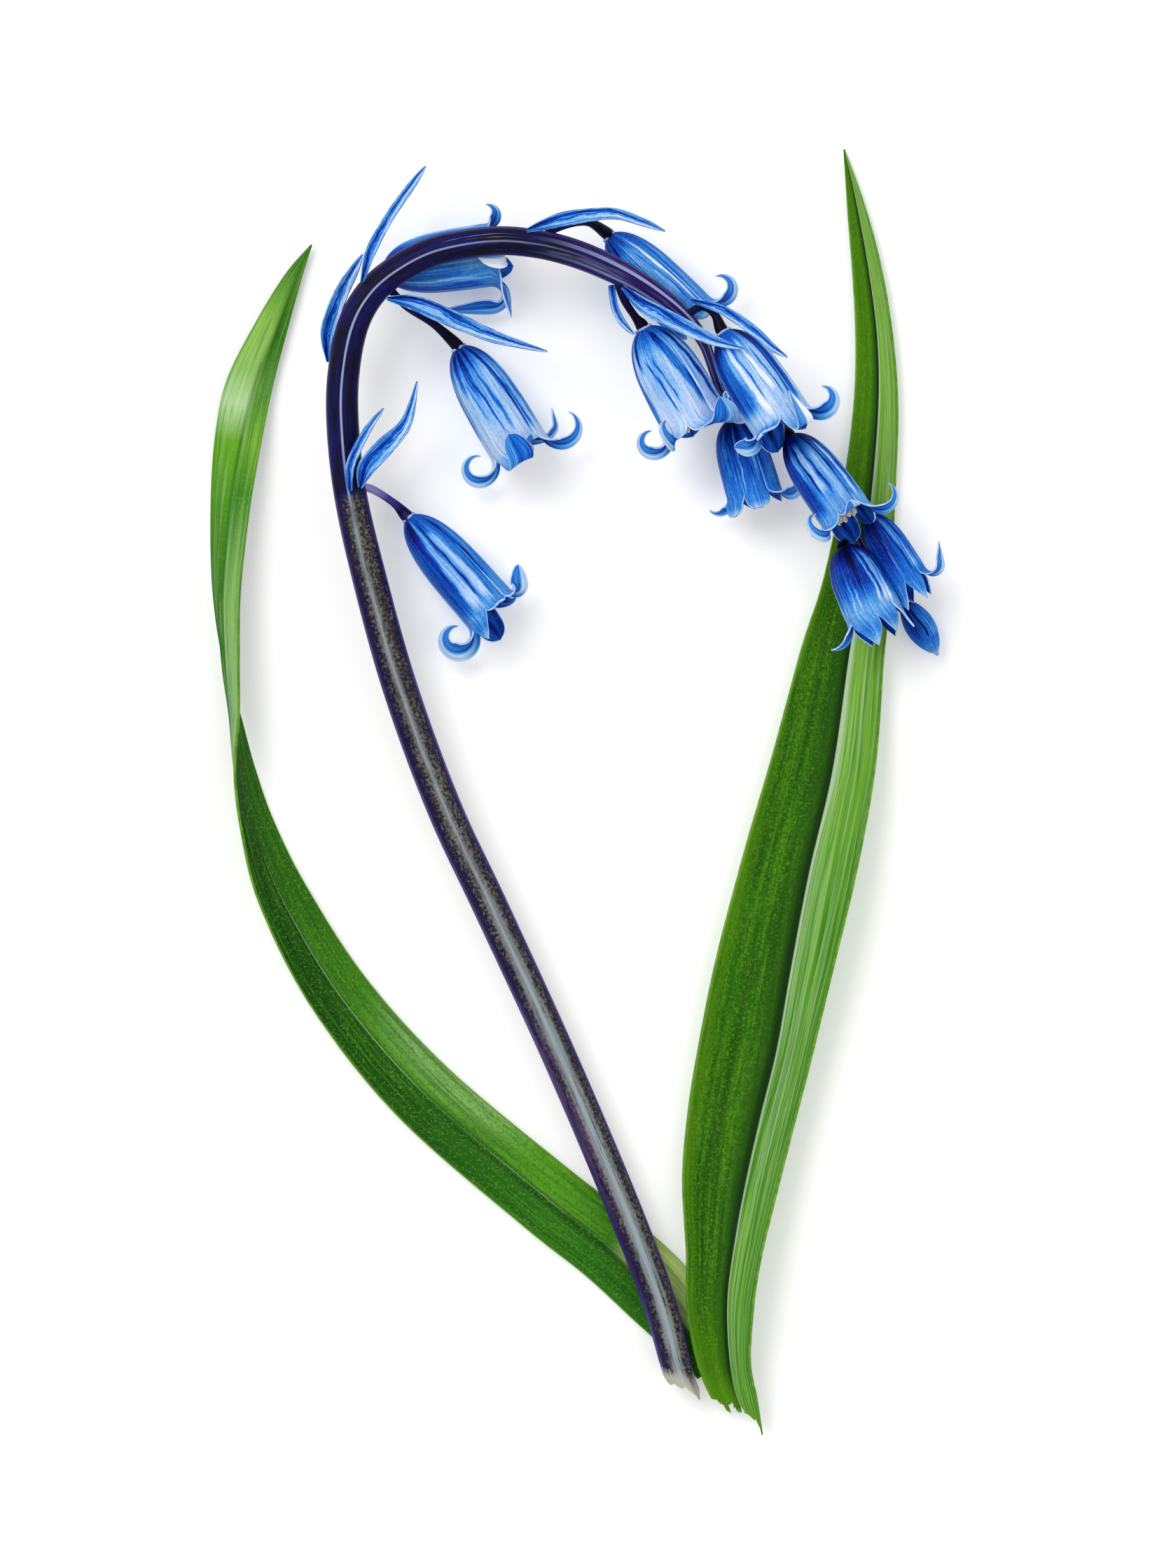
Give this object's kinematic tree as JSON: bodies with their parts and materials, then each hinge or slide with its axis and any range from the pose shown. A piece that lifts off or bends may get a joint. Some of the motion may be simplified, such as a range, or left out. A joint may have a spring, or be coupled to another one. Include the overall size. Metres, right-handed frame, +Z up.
{
  "type": "bluebell",
  "caption": "Cut bluebell lying on a flat surface: arching stem of nodding bell flowers with rolled tips, bracts, and two long pointed leaves.",
  "frame": {"origin": "on the surface that the plant lies on, under the middle of the box round the whole plant", "axes": "+Z up from the surface, +Y from the cut end towards the tip of the right leaf, +X to the right when the leaf tips point away"},
  "size_m": [0.0949, 0.1659, 0.0212],
  "materials": {
    "stem": "satin, indigo to purple brown with pale streaks",
    "leaf": "satin, mid green with a paler keel and fine lengthwise veins",
    "tepal": "soft satin, cobalt streaks on pale lilac blue",
    "bract": "soft satin, mid blue with pale edges",
    "stamen": "matt, cream"
  },
  "bodies": {
    "root": {"flower_stem": "stem", "leaf_left": "leaf", "leaf_right": "leaf", "bell_1": "tepal", "stamens_1": "stamen", "bell_2": "tepal", "stamens_2": "stamen", "bell_3": "tepal", "stamens_3": "stamen", "bell_4": "tepal", "stamens_4": "stamen", "bell_5": "tepal", "stamens_5": "stamen", "bell_6": "tepal", "stamens_6": "stamen", "bell_7": "tepal", "stamens_7": "stamen", "bell_8": "tepal", "stamens_8": "stamen", "bell_9": "tepal", "stamens_9": "stamen", "bell_10": "tepal", "stamens_10": "stamen", "bud": "tepal", "bract_1_slim": "bract", "bract_1_broad": "bract", "bract_2": "bract", "bract_3": "bract", "bract_4": "bract", "bract_5": "bract", "bract_6_slim": "bract", "bract_6_broad": "bract", "bract_7": "bract"}
  },
  "joints": []
}
